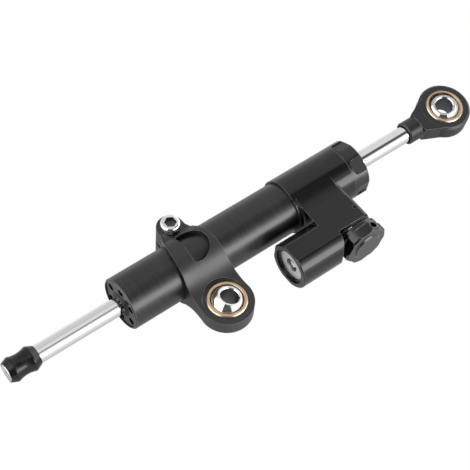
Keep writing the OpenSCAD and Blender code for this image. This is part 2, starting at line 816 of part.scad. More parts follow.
module needle_key() {
  color([0.72, 0.72, 0.74]) on_arm_face() rotate([0, 0, 90]) translate([valve_bore / 2, 0, needle_end])
    cylinder(d = key_d - 2 * seat, h = needle_top - needle_end, $fn = 32);
}

module detent_ball() {
  color([0.85, 0.85, 0.86]) on_arm_face() rotate([0, 0, detent_at])
    translate([detent_pcd / 2, 0, knob_gap - run - detent_d / 2]) sphere(d = detent_d, $fn = 32);
}

module detent_spring() {
  color([0.55, 0.56, 0.58]) on_arm_face() rotate([0, 0, detent_at])
    translate([detent_pcd / 2, 0, 0])
      ring(detent_d - 0.2, detent_d - 1, -detent_depth, knob_gap - run - detent_d);
}

// Rod

module piston_rod() {
  clip_off = piston_w / 2;
  rod_len = collar_x + mouth_t - rod_end_x;
  stud_len = rod_len + rod_socket - mouth_t;
  color([0.86, 0.87, 0.88]) difference() {
    along_rod(rod_end_x) rotate_extrude() polygon([
      [0, 0], [rod_d / 2 - rod_bevel, 0], [rod_d / 2, rod_bevel], [rod_d / 2, rod_len], [stud_d / 2, rod_len],
      [stud_d / 2, stud_len - stud_bevel], [stud_d / 2 - stud_bevel, stud_len], [0, stud_len]
    ]);
    along_rod(rod_end_x - 1) cylinder(d = centre_hole_d, h = 1 + centre_hole_depth, $fn = 32);
    along_rod(piston_x) for (side = [-1, 1])
      ring(rod_d + 2, rod_groove_d, min(side * clip_off, side * (clip_off + piston_clip_t)),
        max(side * clip_off, side * (clip_off + piston_clip_t)));
  }
}

module piston() {
  color([0.70, 0.70, 0.72]) along_rod(piston_x) difference() {
    ring(bore_d - 2 * run, rod_d + 2 * seat, -piston_w / 2, piston_w / 2);
    ring(bore_d + 1, bore_d - 2 * piston_ring_t, -piston_ring_w / 2, piston_ring_w / 2);
  }
}

module piston_ring() {
  color([0.20, 0.13, 0.08]) along_rod(piston_x)
    ring(bore_d - 2 * run, bore_d - 2 * piston_ring_t + 2 * seat, -piston_ring_w / 2, piston_ring_w / 2);
}

module piston_clips() {
  color([0.30, 0.30, 0.31]) along_rod(piston_x) for (side = [-1, 1]) difference() {
    ring(piston_clip_d, rod_groove_d + 2 * seat, min(side * piston_w / 2, side * (piston_w / 2 + piston_clip_t)),
      max(side * piston_w / 2, side * (piston_w / 2 + piston_clip_t)));
    translate([0, -clip_gap / 2, -piston_w]) cube([piston_clip_d, clip_gap, 2 * piston_w]);
  }
}

module end_bumper() {
  rim_w = 0.5;
  taper = 2.75;
  shoulder = 2.85;
  waist_len = bumper_len - taper - 2 * rim_w - shoulder;
  sag = (bumper_d - bumper_waist) / 2;
  waist_r = (sag * sag + waist_len * waist_len / 4) / (2 * sag);
  color([0.06, 0.06, 0.06]) along_rod(rod_end_x) difference() {
    rotate_extrude() polygon([
      [rod_d / 2 + seat, rod_bevel / 3], [rod_d / 2 + rim_w, rod_bevel / 3], [bumper_d / 2, taper],
      [bumper_d / 2, bumper_len - shoulder], [rod_d / 2 + rim_w / 2, bumper_len], [rod_d / 2 + seat, bumper_len]
    ]);
    rotate_extrude() translate([bumper_waist / 2 + waist_r, taper + rim_w + waist_len / 2])
      circle(r = waist_r, $fn = 96);
  }
}

// Rod eye and its bearing

module in_eye() {
  translate([eye_x, rod_y, 0]) rotate([eye_roll, 0, 0]) children();
}

module rod_eye() {
  neck_x = -eye_pos + collar_len - 0.5;
  neck_w = collar_d / 2 - 0.2;
  touch = 108;
  touch_r = eye_r - eye_chamfer - 0.1;
  color([0.09, 0.09, 0.10]) difference() {
    in_eye() {
      rotate_extrude() polygon([
        [0, -eye_t / 2], [eye_r - eye_chamfer, -eye_t / 2], [eye_r, -eye_t / 2 + eye_chamfer],
        [eye_r, eye_t / 2 - eye_chamfer], [eye_r - eye_chamfer, eye_t / 2], [0, eye_t / 2]
      ]);
      translate([0, 0, -eye_t / 2 + 0.02]) linear_extrude(eye_t - 0.04) polygon([
        [neck_x, -neck_w], touch_r * [cos(touch), -sin(touch)],
        [0, 0], touch_r * [cos(touch), sin(touch)], [neck_x, neck_w]
      ]);
      rotate([0, 90, 0]) translate([0, 0, -eye_pos]) rotate_extrude() polygon([
        [0, 0], [collar_d / 2 - collar_bevel, 0], [collar_d / 2, collar_bevel],
        [collar_d / 2, collar_len - collar_rear_bevel], [collar_d / 2 - collar_rear_bevel, collar_len],
        [0, collar_len]
      ]);
    }
    along_rod(collar_x) cylinder(r = stud_d / 2 + seat, h = rod_socket + 0.5);
    along_rod(collar_x - 1) cylinder(d = collar_mouth, h = 1 + mouth_t);
    in_eye() cylinder(r = race_d / 2 + seat, h = 3 * eye_t, center = true);
  }
}

module race() {
  rim_r = race_d / 2 - race_rim;
  color([0.70, 0.52, 0.30]) difference() {
    rotate_extrude() polygon([
      [ball_d / 4, -race_w / 2], [race_d / 2 - race_bevel, -race_w / 2], [race_d / 2, -race_w / 2 + race_bevel],
      [race_d / 2, race_w / 2 - race_bevel], [race_d / 2 - race_bevel, race_w / 2], [ball_d / 4, race_w / 2]
    ]);
    sphere(r = ball_d / 2 + run, $fn = 96);
    for (side = [-1, 1]) translate([0, 0, side * race_w / 2]) {
      cylinder(r = rim_r, h = 2 * race_recess, center = true);
      cylinder(r1 = rim_r + (side < 0 ? race_bevel : 0), r2 = rim_r + (side < 0 ? 0 : race_bevel),
        h = race_bevel, center = true);
    }
  }
}

module ball(tilt) {
  mouth = 0.45;
  color([0.88, 0.88, 0.90]) rotate([0, tilt, 0]) difference() {
    intersection() {
      sphere(d = ball_d, $fn = 96);
      cube([2 * ball_d, 2 * ball_d, ball_w], center = true);
    }
    cylinder(d = ball_bore, h = 2 * ball_w, center = true);
    for (side = [-1, 1]) translate([0, 0, side * ball_w / 2])
      cylinder(r1 = ball_bore / 2 + (side < 0 ? 2 * mouth : 0), r2 = ball_bore / 2 + (side < 0 ? 0 : 2 * mouth),
        h = 2 * mouth, center = true);
  }
}

module rod_eye_race() {
  in_eye() race();
}

module rod_eye_ball() {
  in_eye() ball(eye_ball_tilt);
}

// Clamp and its bearing

// Side view of the clamp: band, hollow blend and bearing lug
module clamp_side() {
  band_r = tube_d / 2 + band_wall;
  half = lug_t / 2;
  blend_z = half + lug_blend_r;
  blend_y = -sqrt(pow(band_r + lug_blend_r, 2) - blend_z * blend_z);
  start = atan2(-blend_z, -blend_y);
  steps = 16;
  arc = [for (i = [0:steps]) let (a = start + (-90 - start) * i / steps)
    [blend_y + lug_blend_r * cos(a), blend_z + lug_blend_r * sin(a)]];
  circle(r = band_r, $fn = 96);
  polygon(concat(
    [[0, 0]], arc, [[-lug_reach - 2 * lug_r, half], [-lug_reach - 2 * lug_r, -half]],
    [for (i = [steps:-1:0]) [arc[i][0], -arc[i][1]]]
  ));
  translate([0, -ear_t / 2]) square([ear_reach + 2 * ear_r, ear_t]);
}

// Plan of the clamp: lug, band and screw lug
module clamp_plan() {
  near = band_near_w / 2;
  far = band_far_w / 2;
  band_r = tube_d / 2 + band_wall;
  right = [
    [lug_r - 0.05, -lug_reach], [near, -band_r], [near - 0.5, -band_r / 2],
    [(near + far) / 2 + 0.4, 0.5], [far + 0.4, band_r / 2], [far - 0.9, band_r * 0.74],
    [ear_r + 0.1, band_r * 0.92], [ear_r - 0.05, ear_reach]
  ];
  polygon(concat(right, [for (i = [len(right) - 1:-1:0]) [-right[i][0], right[i][1]]]));
  translate([0, -lug_reach]) circle(r = lug_r);
  translate([0, ear_reach]) circle(r = ear_r);
}

// Window through the top of the band, flat on one side and round on the other
module window() {
  intersection() {
    translate([window_w / 2 - window_len / 2, 0]) circle(d = window_len);
    translate([-window_w / 2, -window_len]) square([window_w, 2 * window_len]);
  }
}

module clamp_ring() {
  color([0.10, 0.10, 0.11]) difference() {
    intersection() {
      translate([-2 * lug_r, rod_y, 0]) rotate([90, 0, 90]) linear_extrude(4 * lug_r) clamp_side();
      translate([0, rod_y, -ear_t]) linear_extrude(2 * ear_t) clamp_plan();
    }
    along_rod(-2 * lug_r) cylinder(r = tube_d / 2 + run, h = 4 * lug_r);
    translate([-2 * lug_r, rod_y, -split_w / 2]) cube([4 * lug_r, 2 * ear_reach, split_w]);
    translate([window_off, rod_y + window_shift, 0]) linear_extrude(2 * tube_d) window();
    cylinder(r = race_d / 2 + seat, h = 4 * lug_t, center = true);
    for (side = [-1, 1]) translate([0, 0, side * (lug_t / 2 + lug_t)])
      cylinder(r = facing_r, h = 2 * lug_t, center = true);
    translate([0, rod_y + ear_reach, 0]) {
      cylinder(r = screw_d / 2 + screw_play, h = ear_t);
      translate([0, 0, -ear_t]) cylinder(r = screw_d / 2 + seat, h = 2 * ear_t);
      translate([0, 0, ear_t / 2 - screw_seat]) cylinder(r = screw_head_d / 2 + screw_play, h = ear_t);
    }
  }
}

module clamp_screw() {
  seat_z = ear_t / 2 - screw_seat;
  top_z = seat_z + screw_head_h;
  end_z = 1 - ear_t / 2;
  color([0.86, 0.87, 0.88]) translate([0, rod_y + ear_reach, 0]) difference() {
    rotate_extrude() polygon([
      [0, end_z], [screw_d / 2 - screw_bevel, end_z], [screw_d / 2, end_z + screw_bevel],
      [screw_d / 2, seat_z], [screw_head_d / 2, seat_z], [screw_head_d / 2, top_z - screw_bevel],
      [screw_head_d / 2 - screw_bevel, top_z], [0, top_z]
    ]);
    translate([0, 0, seat_z + screw_head_h / 2]) cylinder(d = screw_hex / cos(30), h = screw_head_h, $fn = 6);
  }
}

module clamp_race() {
  race();
}

module clamp_ball() {
  ball(clamp_ball_tilt);
}

cylinder_tube();
front_gland();
front_guide_bush();
front_rod_seal();
front_seal_washer();
front_wiper();
front_gland_ring();
valve_block();
seal_carrier();
seal_carrier_ring();
rear_rod_seal();
end_cap();
rear_guide_bush();
rear_wiper();
reservoir_cover();
reservoir_snap_ring();
passage_plug();
stem_gland();
stem_gland_ring();
needle_key();
detent_ball();
detent_spring();
piston_rod();
piston();
piston_ring();
piston_clips();
end_bumper();
rod_eye();
rod_eye_race();
rod_eye_ball();
clamp_ring();
clamp_screw();
clamp_race();
clamp_ball();
adjuster_knob();
knob_grub_screw();
adjuster_stem();
valve_needle();
floating_piston();
floating_piston_ring();
level_pin();
compensator_spring();
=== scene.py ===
# Motorcycle steering damper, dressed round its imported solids. Metres, in the solids' own axes:
# X along the rod towards its eye, Z up from the table, the origin in the middle of the clamp's ball.
import json
import math

import bpy
from mathutils import Matrix, Vector


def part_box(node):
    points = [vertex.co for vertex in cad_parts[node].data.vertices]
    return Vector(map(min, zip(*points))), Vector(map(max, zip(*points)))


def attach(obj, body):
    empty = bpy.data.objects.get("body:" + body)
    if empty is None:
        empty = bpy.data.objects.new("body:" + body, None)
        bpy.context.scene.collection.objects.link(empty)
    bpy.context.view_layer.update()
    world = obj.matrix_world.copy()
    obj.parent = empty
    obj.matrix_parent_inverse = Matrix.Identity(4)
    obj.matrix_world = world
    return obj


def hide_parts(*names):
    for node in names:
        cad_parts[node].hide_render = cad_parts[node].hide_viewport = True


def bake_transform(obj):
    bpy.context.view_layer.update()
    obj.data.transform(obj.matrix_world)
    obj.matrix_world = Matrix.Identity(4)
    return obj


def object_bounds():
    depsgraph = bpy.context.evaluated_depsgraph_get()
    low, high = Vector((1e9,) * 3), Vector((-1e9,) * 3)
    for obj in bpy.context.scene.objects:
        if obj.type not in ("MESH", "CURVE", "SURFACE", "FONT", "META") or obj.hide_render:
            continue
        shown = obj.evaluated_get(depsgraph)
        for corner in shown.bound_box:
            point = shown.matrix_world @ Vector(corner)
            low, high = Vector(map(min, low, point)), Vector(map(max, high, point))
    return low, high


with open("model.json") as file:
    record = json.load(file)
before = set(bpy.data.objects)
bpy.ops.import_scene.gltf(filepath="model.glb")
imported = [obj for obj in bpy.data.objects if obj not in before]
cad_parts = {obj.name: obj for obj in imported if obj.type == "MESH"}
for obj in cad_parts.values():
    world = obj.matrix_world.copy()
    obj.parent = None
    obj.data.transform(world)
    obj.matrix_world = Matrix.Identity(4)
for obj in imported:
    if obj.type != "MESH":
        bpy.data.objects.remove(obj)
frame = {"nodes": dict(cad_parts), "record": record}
solids_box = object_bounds()


# Camera. It looks down on the damper from the side of its bearing and knob, so the rod climbs to the right.
# It is aimed at a point at the height of the rod's axis and turned a little about its own line of sight.
camera_target = Vector((0.02436, 0.02604, 0.0))
camera_distance = 0.58689
camera_side = math.radians(-132.306)
camera_height = math.radians(55.584)
camera_roll = math.radians(5.922)

camera_data = bpy.data.cameras.new("camera")
camera_data.sensor_width = 36
camera_data.lens = 103.37
camera_data.clip_start = 0.01
camera_back = Vector((math.cos(camera_side) * math.cos(camera_height),
                      math.sin(camera_side) * math.cos(camera_height), math.sin(camera_height)))
camera = bpy.data.objects.new("camera", camera_data)
camera.matrix_world = (Matrix.Translation(camera_target + camera_distance * camera_back)
                       @ camera_back.to_track_quat("Z", "Y").to_matrix().to_4x4()
                       @ Matrix.Rotation(camera_roll, 4, "Z"))
bpy.context.scene.collection.objects.link(camera)
bpy.context.scene.camera = camera


# Studio. A grey ceiling has one dark seam, which leaves two thin gaps over the open end. A long soft box
# hangs low beside the camera, and behind it stands a dark screen. Past both ends of the damper the room is
# bright. Polished metal mirrors all of it, and the eye sees plain white.
screen_side = math.radians(-127)
screen_half = math.radians(29)
screen_top = 0.86  # sine of its highest point's angle over the table
screen_shade = 0.09
screen_blur = 0.15  # share of its half angle over which its sides fade
screen_top_blur = 0.03
ends_middle, bright_from, bright_to = 0.14, 0.54, 0.76  # how far a direction turns towards either end
end_level = 2.6
room_level = 0.62  # what lights all that is not polished
soft_box_width, soft_box_height, soft_box_level = 0.60, 0.34, 5.0
seam_whole, seam_gone = 0.37, 0.28  # where the seam starts to narrow, and where only the gaps are left

ceiling_shades = (  # degrees round the rod's axis from straight up towards the knob's side, and brightness
    (-180, 1.0), (-130, 0.85), (-92, 0.72), (-62, 0.74), (-17, 0.76), (-4, 0.72),
    (2, 0.09), (26, 0.09), (42, 0.85), (60, 1.0), (180, 1.0))
open_shades = (  # the same over the open end
    (-180, 1.0), (-130, 0.85), (-92, 0.66), (-62, 0.64), (-40, 0.70), (-33, 0.52), (-27, 0.52), (-20, 0.70),
    (0, 0.80), (17, 0.74), (22, 0.22), (29, 0.22), (38, 0.85), (60, 1.0), (180, 1.0))

bpy.context.scene.view_settings.view_transform = "Standard"
world = bpy.data.worlds.new("studio")
bpy.context.scene.world = world
world.use_nodes = True
studio = world.node_tree
studio.nodes.clear()

# The angle round the rod's axis, as a share of a whole turn
direction = studio.nodes.new("ShaderNodeTexCoord")
split = studio.nodes.new("ShaderNodeSeparateXYZ")
knob_side = studio.nodes.new("ShaderNodeMath")
knob_side.operation = "MULTIPLY"
knob_side.inputs[1].default_value = -1
round_angle = studio.nodes.new("ShaderNodeMath")
round_angle.operation = "ARCTAN2"
round_share = studio.nodes.new("ShaderNodeMath")
round_share.operation = "MULTIPLY_ADD"
round_share.inputs[1].default_value = 1 / (2 * math.pi)
round_share.inputs[2].default_value = 0.5

# The ceiling, which changes along the damper
ceiling = studio.nodes.new("ShaderNodeValToRGB")
open_ceiling = studio.nodes.new("ShaderNodeValToRGB")
for part, shades in ((ceiling, ceiling_shades), (open_ceiling, open_shades)):
    stops = part.color_ramp.elements
    while len(stops) < len(shades):
        stops.new(0.5)
    for stop, (angle, shade) in zip(stops, shades):
        stop.position = angle / 360 + 0.5
        stop.color = (shade, shade, shade, 1)
seam_end = studio.nodes.new("ShaderNodeMapRange")
seam_end.inputs["From Min"].default_value = seam_whole
seam_end.inputs["From Max"].default_value = seam_gone
overhead = studio.nodes.new("ShaderNodeMix")
overhead.data_type = "RGBA"

# The bright ends of the room
endwise = studio.nodes.new("ShaderNodeMath")
endwise.operation = "SUBTRACT"
endwise.inputs[1].default_value = ends_middle
either_end = studio.nodes.new("ShaderNodeMath")
either_end.operation = "ABSOLUTE"
end_share = studio.nodes.new("ShaderNodeMapRange")
end_share.inputs["From Min"].default_value = bright_from
end_share.inputs["From Max"].default_value = bright_to
lit_end = studio.nodes.new("ShaderNodeMix")
lit_end.data_type = "RGBA"
lit_end.inputs["B"].default_value = (end_level, end_level, end_level, 1)

# The dark screen behind the camera
flat_way = studio.nodes.new("ShaderNodeVectorMath")
flat_way.operation = "MULTIPLY"
flat_way.inputs[1].default_value = (1, 1, 0)
flat_unit = studio.nodes.new("ShaderNodeVectorMath")
flat_unit.operation = "NORMALIZE"
to_screen = studio.nodes.new("ShaderNodeVectorMath")
to_screen.operation = "DOT_PRODUCT"
to_screen.inputs[1].default_value = (math.cos(screen_side), math.sin(screen_side), 0)
screen_width = studio.nodes.new("ShaderNodeMapRange")
screen_width.interpolation_type = "SMOOTHSTEP"
screen_width.inputs["From Min"].default_value = math.cos(screen_half * (1 + screen_blur))
screen_width.inputs["From Max"].default_value = math.cos(screen_half * (1 - screen_blur))
screen_height = studio.nodes.new("ShaderNodeMapRange")
screen_height.interpolation_type = "SMOOTHSTEP"
screen_height.inputs["From Min"].default_value = screen_top + screen_top_blur
screen_height.inputs["From Max"].default_value = screen_top - screen_top_blur
screen = studio.nodes.new("ShaderNodeMath")
screen.operation = "MULTIPLY"
screened = studio.nodes.new("ShaderNodeMix")
screened.data_type = "RGBA"
screened.inputs["B"].default_value = (screen_shade, screen_shade, screen_shade, 1)

# What polished metal mirrors, what lights the rest, and what the eye sees
rays = studio.nodes.new("ShaderNodeLightPath")
mirrored = studio.nodes.new("ShaderNodeMix")
mirrored.data_type = "RGBA"
mirrored.inputs["A"].default_value = (room_level, room_level, room_level, 1)
seen = studio.nodes.new("ShaderNodeMix")
seen.data_type = "RGBA"
seen.inputs["B"].default_value = (1, 1, 1, 1)
sky = studio.nodes.new("ShaderNodeBackground")
sky_out = studio.nodes.new("ShaderNodeOutputWorld")

for source, target in (
        (direction.outputs["Generated"], split.inputs[0]),
        (split.outputs["Y"], knob_side.inputs[0]),
        (knob_side.outputs[0], round_angle.inputs[0]),
        (split.outputs["Z"], round_angle.inputs[1]),
        (round_angle.outputs[0], round_share.inputs[0]),
        (round_share.outputs[0], ceiling.inputs[0]),
        (round_share.outputs[0], open_ceiling.inputs[0]),
        (split.outputs["X"], seam_end.inputs["Value"]),
        (seam_end.outputs[0], overhead.inputs["Factor"]),
        (ceiling.outputs["Color"], overhead.inputs["A"]),
        (open_ceiling.outputs["Color"], overhead.inputs["B"]),
        (split.outputs["X"], endwise.inputs[0]),
        (endwise.outputs[0], either_end.inputs[0]),
        (either_end.outputs[0], end_share.inputs["Value"]),
        (end_share.outputs[0], lit_end.inputs["Factor"]),
        (overhead.outputs["Result"], lit_end.inputs["A"]),
        (direction.outputs["Generated"], flat_way.inputs[0]),
        (flat_way.outputs[0], flat_unit.inputs[0]),
        (flat_unit.outputs[0], to_screen.inputs[0]),
        (to_screen.outputs["Value"], screen_width.inputs["Value"]),
        (split.outputs["Z"], screen_height.inputs["Value"]),
        (screen_width.outputs[0], screen.inputs[0]),
        (screen_height.outputs[0], screen.inputs[1]),
        (screen.outputs[0], screened.inputs["Factor"]),
        (lit_end.outputs["Result"], screened.inputs["A"]),
        (rays.outputs["Is Glossy Ray"], mirrored.inputs["Factor"]),
        (screened.outputs["Result"], mirrored.inputs["B"]),
        (rays.outputs["Is Camera Ray"], seen.inputs["Factor"]),
        (mirrored.outputs["Result"], seen.inputs["A"]),
        (seen.outputs["Result"], sky.inputs["Color"]),
        (sky.outputs[0], sky_out.inputs["Surface"])):
    studio.links.new(source, target)

soft_box_way = Vector((0.38, -0.86, 0.36)).normalized()
soft_box_distance = 0.75
soft_box_data = bpy.data.lights.new("soft_box", "AREA")
soft_box_data.shape = "RECTANGLE"
soft_box_data.size = soft_box_width
soft_box_data.size_y = soft_box_height
soft_box_data.energy = soft_box_level * soft_box_width * soft_box_height * math.pi
soft_box = bpy.data.objects.new("soft_box", soft_box_data)
box_right = Vector((1, 0, 0)) - soft_box_way * soft_box_way.x
box_right.normalize()
box_up = soft_box_way.cross(box_right)
soft_box.matrix_world = (Matrix.Translation(camera_target + soft_box_distance * soft_box_way)
                         @ Matrix((box_right, box_up, soft_box_way)).transposed().to_4x4())
bpy.context.scene.collection.objects.link(soft_box)


# Table. A plain white paper sheet just under the clamp's band, the lowest solid. To the eye it is as white
# as the background but for a faint shadow. Metal mirrors more of that shadow, and a glow that is dimmer
# beside the rod than further out, a painted shadow of the damper.
table_gap = 0.0002
table_half = 2.0
paper_white = 0.92
seen_share, mirrored_share = 0.985, 0.85  # how much of the paper glows by itself, to the eye and in metal
# the glow mirrored in metal beside the rod, dimmed as a painted shadow
dimmest_glow = 0.50
dim_within, bright_beyond = 0.006, 0.100  # distances from the rod's axis
rod_y = (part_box("piston_rod")[0].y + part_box("piston_rod")[1].y) / 2

bpy.ops.object.select_all(action="DESELECT")
bpy.ops.mesh.primitive_plane_add(size=2 * table_half, location=(0, 0, 0))
table = bpy.context.object
table.name = "table"
table.data.transform(Matrix.Translation((camera_target.x, camera_target.y, solids_box[0].z - table_gap)))
paper = bpy.data.materials.new("white_sheet")
paper.use_nodes = True
tree = paper.node_tree
tree.nodes.clear()
matt = tree.nodes.new("ShaderNodeBsdfDiffuse")
matt.inputs["Color"].default_value = (paper_white, paper_white, paper_white, 1)
glow = tree.nodes.new("ShaderNodeEmission")
sheet = tree.nodes.new("ShaderNodeMixShader")
out = tree.nodes.new("ShaderNodeOutputMaterial")

# How much of it glows, to the eye and in metal
paper_rays = tree.nodes.new("ShaderNodeLightPath")
by_eye = tree.nodes.new("ShaderNodeMath")
by_eye.operation = "MULTIPLY"
by_eye.inputs[1].default_value = seen_share
metal_or_glass = tree.nodes.new("ShaderNodeMath")
metal_or_glass.operation = "MAXIMUM"
by_mirror = tree.nodes.new("ShaderNodeMath")
by_mirror.operation = "MULTIPLY"
by_mirror.inputs[1].default_value = mirrored_share
glow_share = tree.nodes.new("ShaderNodeMath")
glow_share.operation = "MAXIMUM"

# How bright it glows: plain white to the eye, and in metal dimmer beside the rod, a painted shadow
spot = tree.nodes.new("ShaderNodeTexCoord")
spot_parts = tree.nodes.new("ShaderNodeSeparateXYZ")
aside = tree.nodes.new("ShaderNodeMath")
aside.operation = "SUBTRACT"
aside.inputs[1].default_value = rod_y
away = tree.nodes.new("ShaderNodeMath")
away.operation = "ABSOLUTE"
spread = tree.nodes.new("ShaderNodeMapRange")
spread.inputs["From Min"].default_value = dim_within
spread.inputs["From Max"].default_value = bright_beyond
brighter = tree.nodes.new("ShaderNodeMath")
brighter.operation = "SQRT"
dimmed = tree.nodes.new("ShaderNodeMath")
dimmed.operation = "MULTIPLY_ADD"
dimmed.inputs[1].default_value = 1 - dimmest_glow
dimmed.inputs[2].default_value = dimmest_glow
glow_strength = tree.nodes.new("ShaderNodeMath")
glow_strength.operation = "MAXIMUM"

for source, target in (
        (paper_rays.outputs["Is Camera Ray"], by_eye.inputs[0]),
        (paper_rays.outputs["Is Glossy Ray"], metal_or_glass.inputs[0]),
        (paper_rays.outputs["Is Transmission Ray"], metal_or_glass.inputs[1]),
        (metal_or_glass.outputs[0], by_mirror.inputs[0]),
        (by_eye.outputs[0], glow_share.inputs[0]),
        (by_mirror.outputs[0], glow_share.inputs[1]),
        (spot.outputs["Object"], spot_parts.inputs[0]),
        (spot_parts.outputs["Y"], aside.inputs[0]),
        (aside.outputs[0], away.inputs[0]),
        (away.outputs[0], spread.inputs["Value"]),
        (spread.outputs[0], brighter.inputs[0]),
        (brighter.outputs[0], dimmed.inputs[0]),
        (paper_rays.outputs["Is Camera Ray"], glow_strength.inputs[0]),
        (dimmed.outputs[0], glow_strength.inputs[1]),
        (glow_strength.outputs[0], glow.inputs["Strength"]),
        (glow_share.outputs[0], sheet.inputs[0]),
        (matt.outputs[0], sheet.inputs[1]),
        (glow.outputs[0], sheet.inputs[2]),
        (sheet.outputs[0], out.inputs["Surface"])):
    tree.links.new(source, target)
table.data.materials.append(paper)


# Cylinder tube. Drawn aluminium, turned outside and anodised satin black, with fine turning lines round it.
# Its edges are softened, and lighter in colour: partly rubbed wear, partly a painted highlight.
def start_finish(name, colour, metal, roughness, mirror=0.5):
    """A finish of one piece: its material, with the plain colour and gloss on the shader's own sockets."""
    finish = bpy.data.materials.new(name)
    finish.use_nodes = True
    shader = finish.node_tree.nodes["Principled BSDF"]
    shader.inputs["Base Color"].default_value = (*colour, 1)
    shader.inputs["Metallic"].default_value = metal
    shader.inputs["Roughness"].default_value = roughness
    shader.inputs["Specular IOR Level"].default_value = mirror
    return finish


def grain(finish, scale, detail=2.0, offset=(0, 0, 0)):
    """A noise on the piece's own place, stretched by a scale per axis. Returns its height."""
    tree = finish.node_tree
    place = tree.nodes.new("ShaderNodeTexCoord")
    stretch = tree.nodes.new("ShaderNodeMapping")
    stretch.inputs["Location"].default_value = offset
    stretch.inputs["Scale"].default_value = scale
    noise = tree.nodes.new("ShaderNodeTexNoise")
    noise.inputs["Scale"].default_value = 1
    noise.inputs["Detail"].default_value = detail
    tree.links.new(place.outputs["Object"], stretch.inputs["Vector"])
    tree.links.new(stretch.outputs[0], noise.inputs["Vector"])
    return noise.outputs["Fac"]


def vary(finish, height, socket, low, high):
    """Lets a noise's height, mostly 0.3 to 0.7, move one of the shader's sockets between two values."""
    tree = finish.node_tree
    reach = tree.nodes.new("ShaderNodeMapRange")
    reach.inputs["From Min"].default_value = 0.3
    reach.inputs["From Max"].default_value = 0.7
    reach.inputs["To Min"].default_value = low
    reach.inputs["To Max"].default_value = high
    tree.links.new(height, reach.inputs["Value"])
    tree.links.new(reach.outputs[0], tree.nodes["Principled BSDF"].inputs[socket])


def soften(finish, radius, heights):
    """Rounds the edges for the light, under the bumps of the given heights. Returns the rounded normal."""
    tree = finish.node_tree
    edge = tree.nodes.new("ShaderNodeBevel")
    edge.samples = 6
    edge.inputs["Radius"].default_value = radius
    normal = edge.outputs[0]
    for height, depth in heights:
        bump = tree.nodes.new("ShaderNodeBump")
        bump.inputs["Strength"].default_value = 1
        bump.inputs["Distance"].default_value = depth
        tree.links.new(height, bump.inputs["Height"])
        tree.links.new(normal, bump.inputs["Normal"])
        normal = bump.outputs[0]
    tree.links.new(normal, tree.nodes["Principled BSDF"].inputs["Normal"])
    return edge.outputs[0]


def rub_and_highlight_edges(finish, rounded, height, body, rubbed_and_lit):
    """Mixes a lighter colour in where the rounded normal leaves the face's own, broken up by a height:
    rubbed wear and a painted edge highlight.
    """
    untouched, fully_rubbed_and_lit = 0.998, 0.94  # cosines between the two normals
    tree = finish.node_tree
    face = tree.nodes.new("ShaderNodeNewGeometry")
    along = tree.nodes.new("ShaderNodeVectorMath")
    along.operation = "DOT_PRODUCT"
    worn_and_lit = tree.nodes.new("ShaderNodeMapRange")
    worn_and_lit.inputs["From Min"].default_value = untouched
    worn_and_lit.inputs["From Max"].default_value = fully_rubbed_and_lit
    patchy = tree.nodes.new("ShaderNodeMath")
    patchy.operation = "MULTIPLY"
    tint = tree.nodes.new("ShaderNodeMix")
    tint.data_type = "RGBA"
    tint.inputs["A"].default_value = (*body, 1)
    tint.inputs["B"].default_value = (*rubbed_and_lit, 1)
    tree.links.new(rounded, along.inputs[0])
    tree.links.new(face.outputs["Normal"], along.inputs[1])
    tree.links.new(along.outputs["Value"], worn_and_lit.inputs["Value"])
    tree.links.new(worn_and_lit.outputs[0], patchy.inputs[0])
    tree.links.new(height, patchy.inputs[1])
    tree.links.new(patchy.outputs[0], tint.inputs["Factor"])
    tree.links.new(tint.outputs["Result"], tree.nodes["Principled BSDF"].inputs["Base Color"])


def dress(finish, *names):
    """Gives the named solids a finish."""
    for name in names:
        solid = frame["nodes"][name]
        solid.data.materials.clear()
        solid.data.materials.append(finish)


def black_anodise(name, body, roughness, mirror, lines, line_depth, edge):
    """Black anodised aluminium with machining lines along one axis, and edges lighter from rubbing and a
    painted highlight.
    """
    finish = start_finish(name, body, 0.0, roughness, mirror)
    streaks = grain(finish, lines)
    cloud = grain(finish, (60, 60, 60), 3.0, (3, 1, 2))
    vary(finish, streaks, "Roughness", roughness - 0.02, roughness + 0.03)
    vary(finish, streaks, "Specular IOR Level", mirror * 0.90, mirror * 1.06)
    rounded = soften(finish, edge, [(streaks, line_depth)])
    # the edges' lighter colour: rubbed wear and a painted highlight
    rub_and_highlight_edges(finish, rounded, cloud, body, (0.50, 0.50, 0.51))
    return finish


tube_black = black_anodise("tube_black", (0.006, 0.006, 0.0063), 0.33, 0.75,
                           lines=(900, 25, 25), line_depth=0.000004, edge=0.00035)
dress(tube_black, "cylinder_tube")


# Front gland and end cap. Turned from aluminium bar, black anodised, and screwed into the tube's open end
# and the valve block. Tool marks run round the rod's axis.
gland_black = black_anodise("gland_black", (0.007, 0.007, 0.0073), 0.28, 0.66,
                            lines=(1500, 300, 300), line_depth=0.0000008, edge=0.0001)
dress(gland_black, "front_gland", "end_cap")


# Valve block. Milled from one piece of aluminium with its arm and reservoir barrel, then anodised, darker
# and glossier than the tube. Faint cutter lines run along the rod.
block_black = black_anodise("block_black", (0.004, 0.004, 0.0045), 0.21, 0.55,
                            lines=(16, 1200, 1200), line_depth=0.0000007, edge=0.0002)
dress(block_black, "valve_block")


